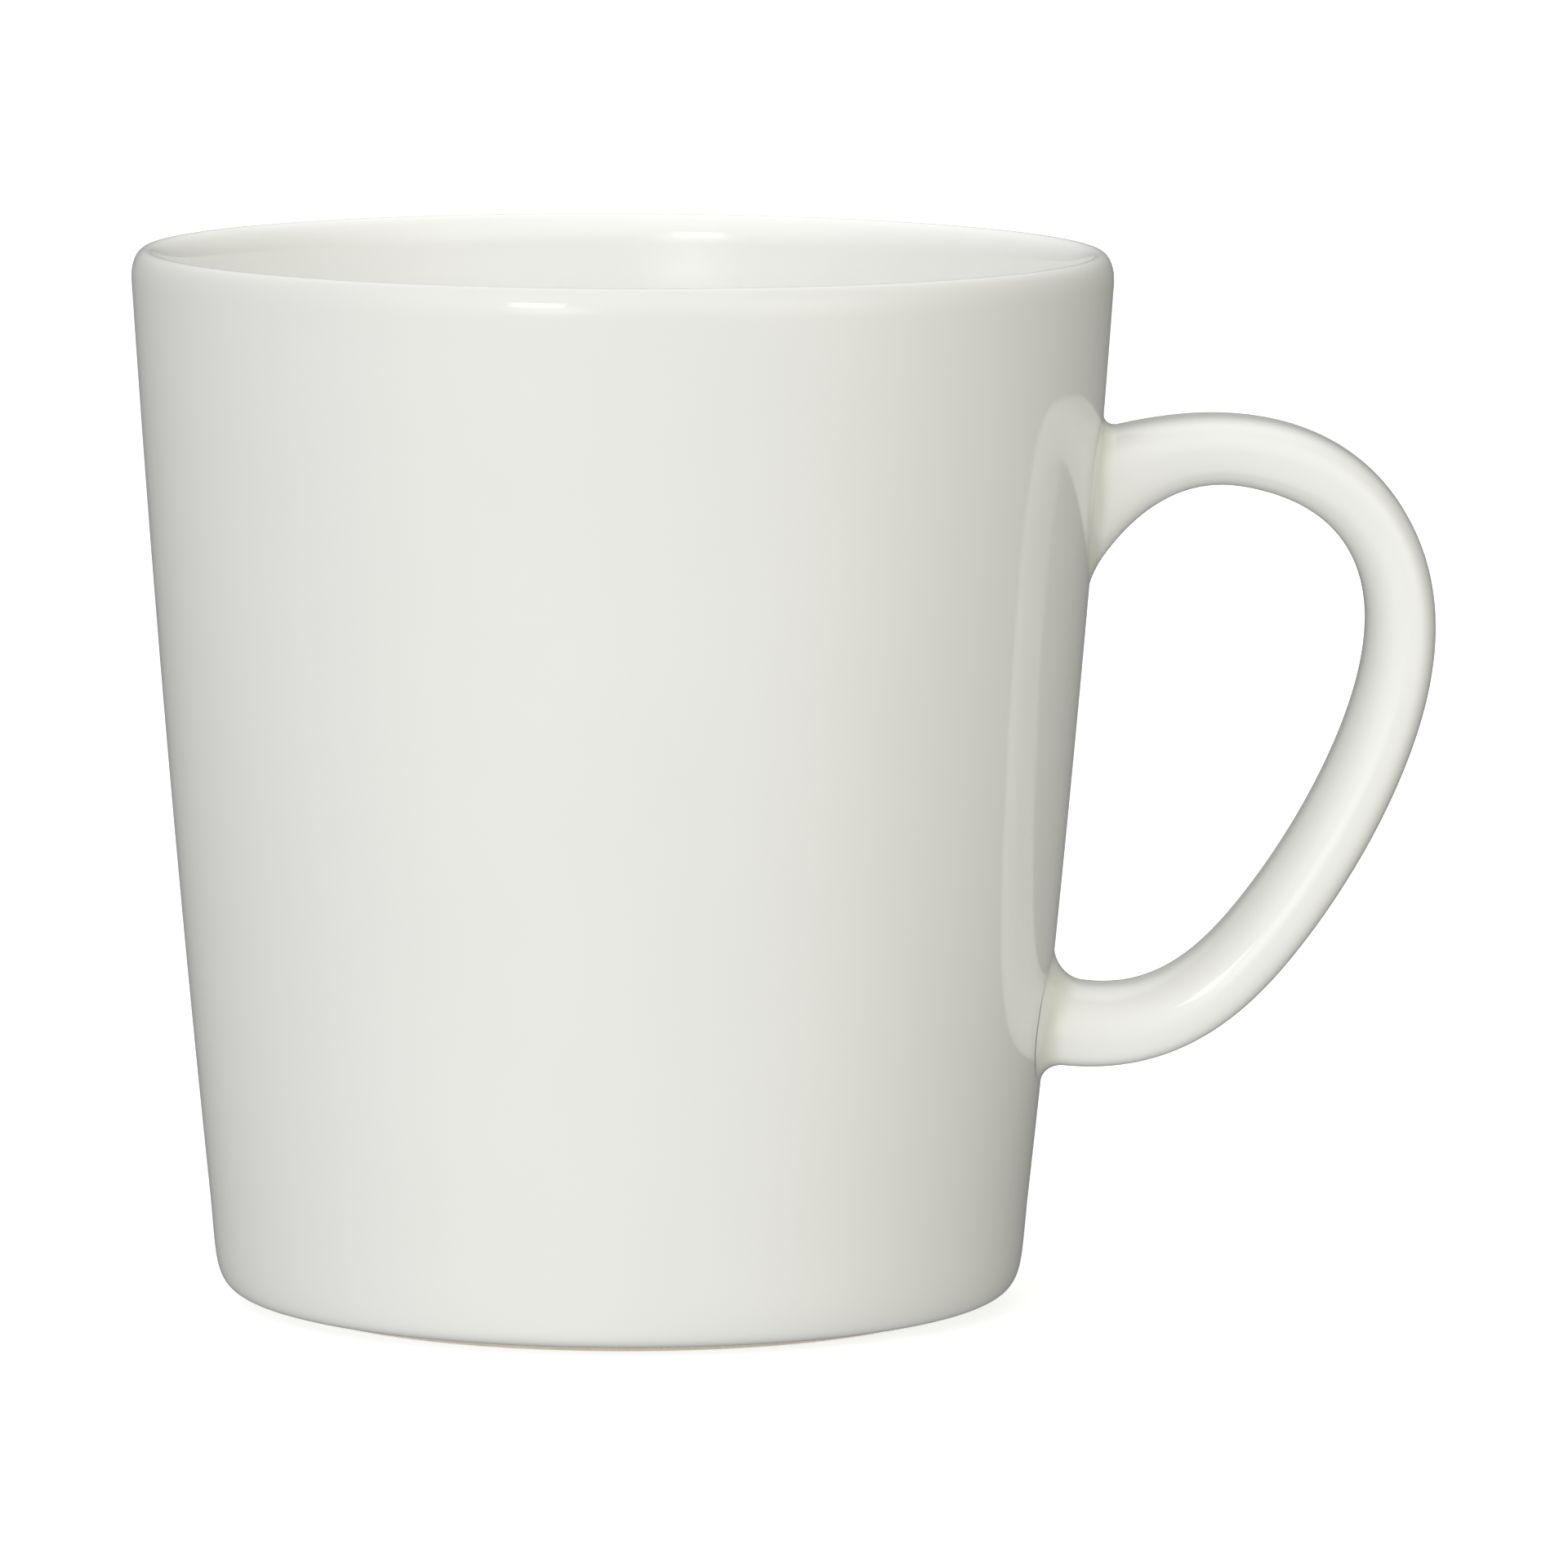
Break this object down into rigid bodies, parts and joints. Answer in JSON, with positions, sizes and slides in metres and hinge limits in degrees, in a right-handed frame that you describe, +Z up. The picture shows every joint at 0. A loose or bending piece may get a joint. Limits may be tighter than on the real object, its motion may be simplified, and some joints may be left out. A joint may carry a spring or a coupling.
{
  "type": "ceramic mug",
  "caption": "Tapered glazed ceramic mug with a rounded rim, a foot ring underneath and a D-shaped loop handle luted to its side.",
  "frame": {"origin": "on the standing surface, under the middle of the bounding box; the cup's own axis is 14.8 mm from it towards -X", "axes": "+Z up out of the mouth, +X towards the handle, +Y away from a viewer who has the handle on the right"},
  "size_m": [0.1192, 0.0896, 0.0969],
  "materials": {
    "glaze": "smooth off-white gloss glaze",
    "glaze_over_slip": "off-white gloss glaze, a little thicker where it pools in the fillets",
    "bare_foot": "unglazed fine-grained biscuit on the foot ring"
  },
  "bodies": {
    "root": {"cup_body": "glaze", "handle": "glaze", "upper_slip_joint": "glaze_over_slip", "lower_slip_joint": "glaze_over_slip"}
  },
  "joints": []
}
